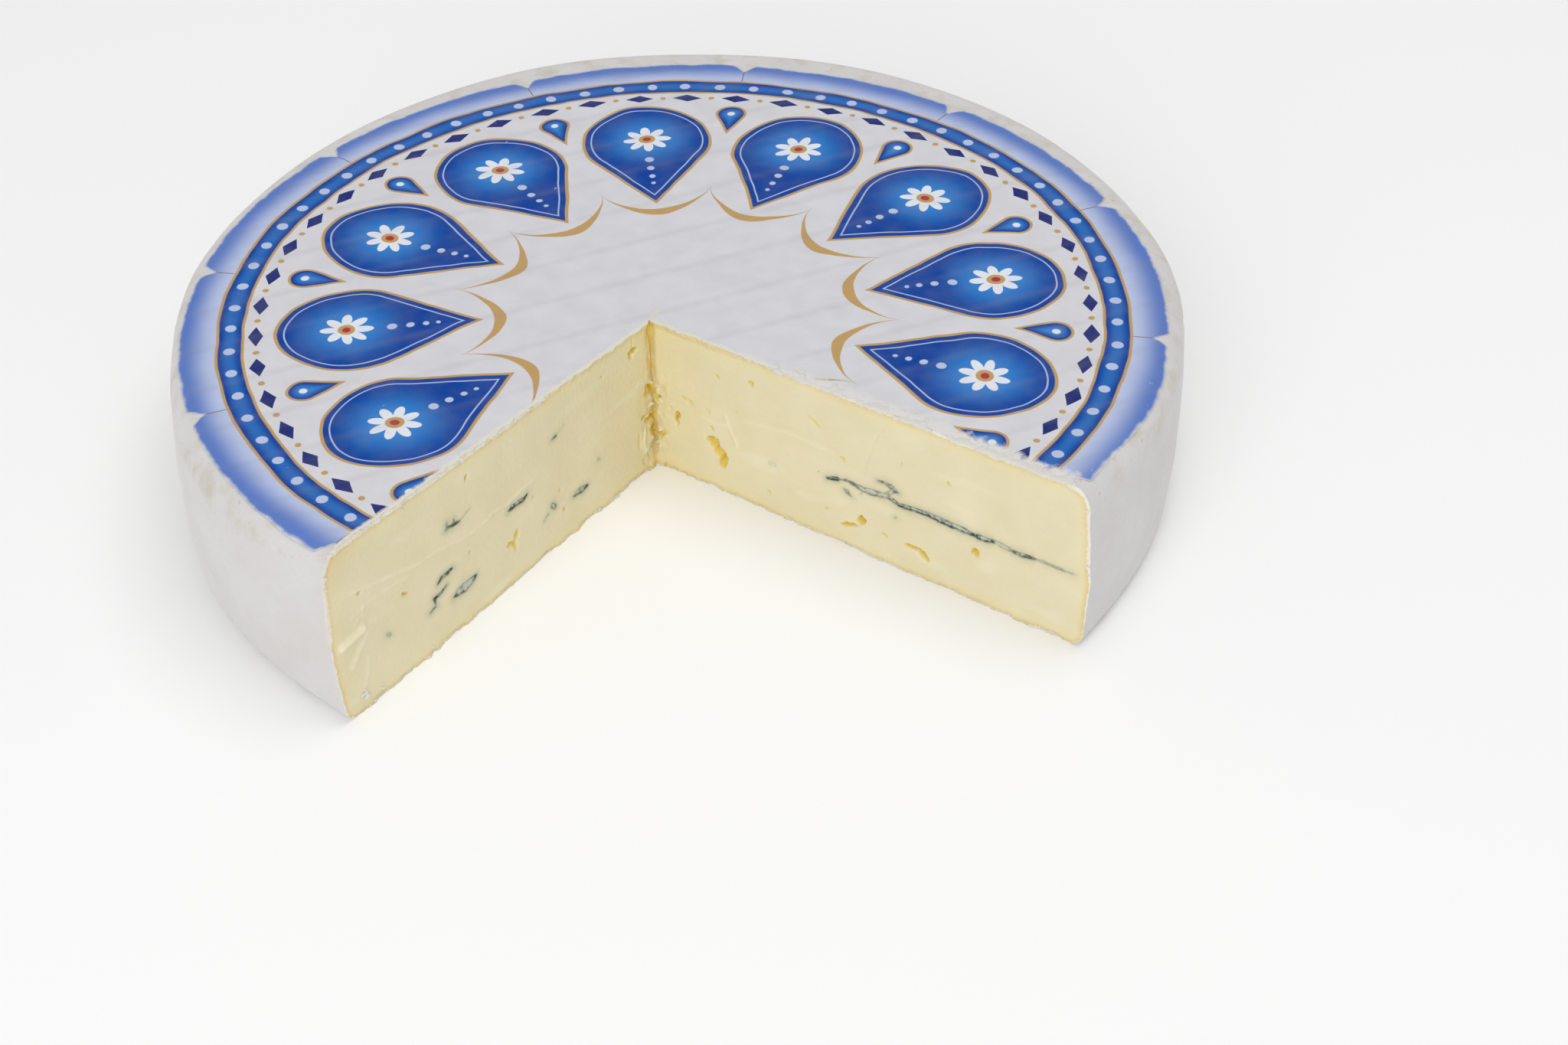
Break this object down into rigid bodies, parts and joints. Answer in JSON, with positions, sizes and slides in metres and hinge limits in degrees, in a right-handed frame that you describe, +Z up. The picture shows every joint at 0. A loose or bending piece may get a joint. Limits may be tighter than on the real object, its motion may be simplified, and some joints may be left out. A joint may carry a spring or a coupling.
{
  "type": "cut wheel of soft blue cheese",
  "caption": "Low round soft-ripened blue cheese with a white bloomy rind, a quarter cut out to show the pale veined paste, and a printed paper label lying on its top.",
  "frame": {"origin": "middle of the wheel, on the flat base that it rests on", "axes": "+Z up through the flat top; the missing quarter opens towards -Y"},
  "size_m": [0.2481, 0.2329, 0.0432],
  "materials": {
    "cheese": "soft moist cheese paste inside a dry velvety white mould rind",
    "label": "coated paper, half gloss, printed in blue, white and gold"
  },
  "bodies": {
    "root": {"cheese": "cheese", "label": "label"}
  },
  "joints": []
}
